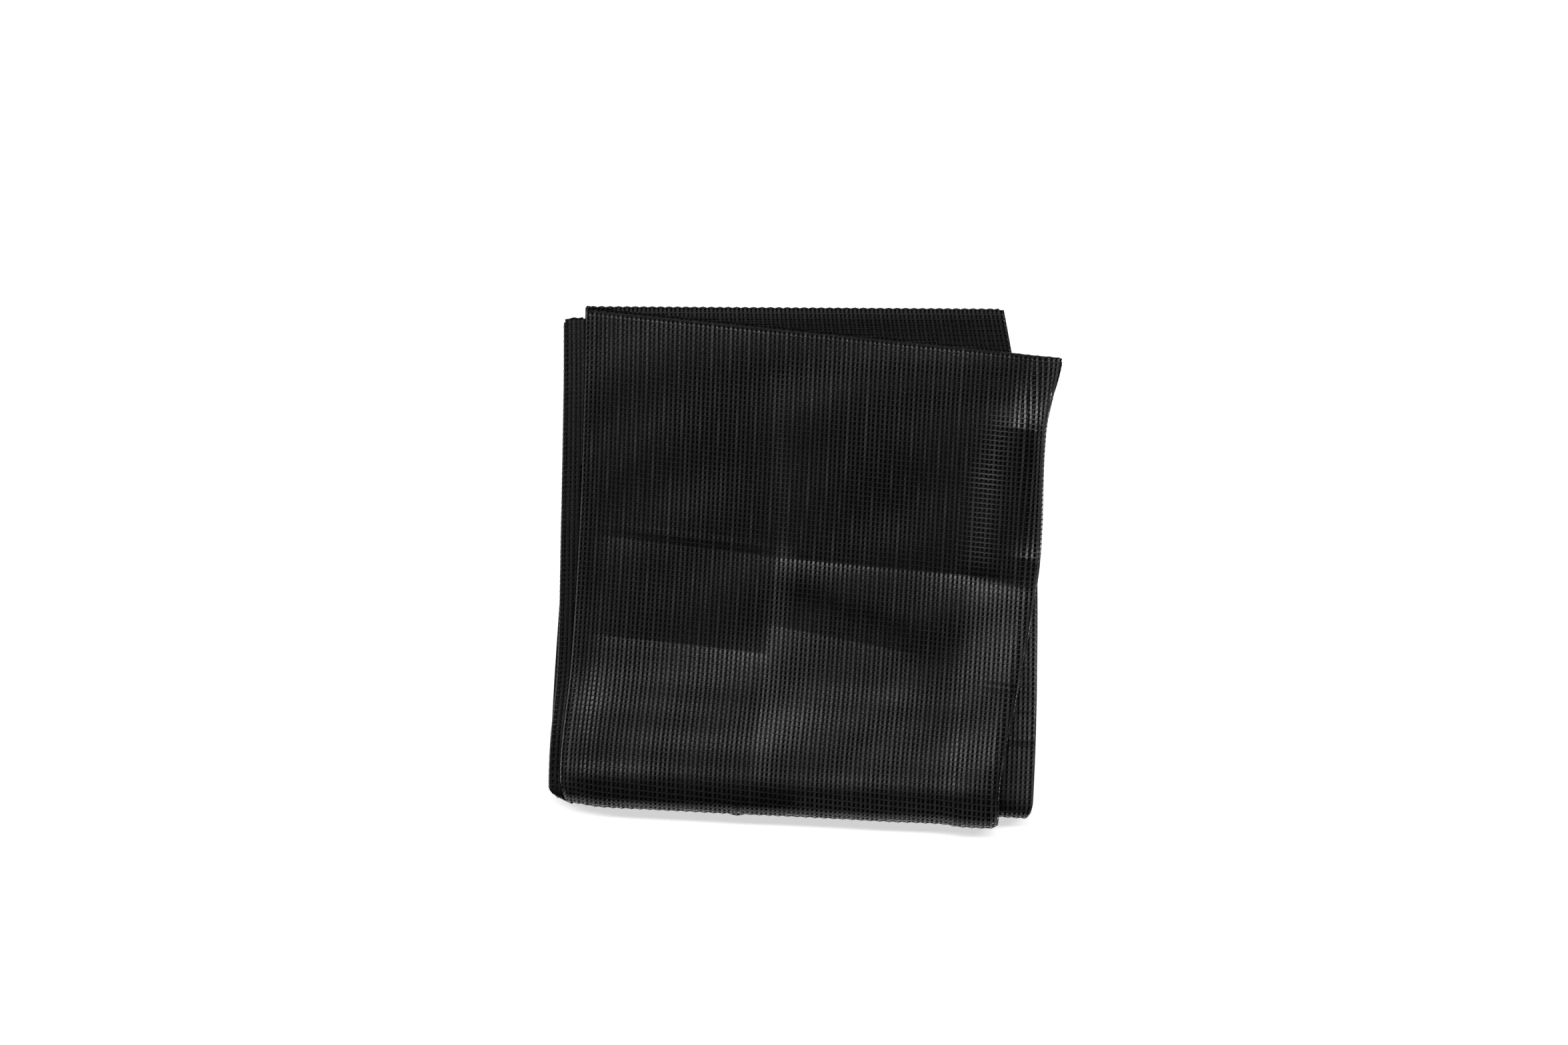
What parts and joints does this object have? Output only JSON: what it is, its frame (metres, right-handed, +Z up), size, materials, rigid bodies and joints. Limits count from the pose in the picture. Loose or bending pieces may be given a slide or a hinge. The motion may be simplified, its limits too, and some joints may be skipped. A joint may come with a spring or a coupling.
{
  "type": "folded insect screen",
  "caption": "Black knitted insect screen net, folded left and right into a flat, nearly square pack and turned under at one edge.",
  "frame": {"origin": "middle of the pack's box, on the surface that it lies on", "axes": "+Z up from that surface, +Y from the turned edge towards the open ends of the folded strip, +X to the right seen from above"},
  "size_m": [0.181, 0.182, 0.0172],
  "materials": {
    "net": "black knitted polyester net with square openings, slightly glossy yarn"
  },
  "bodies": {
    "root": {"folded_net": "net"}
  },
  "joints": []
}
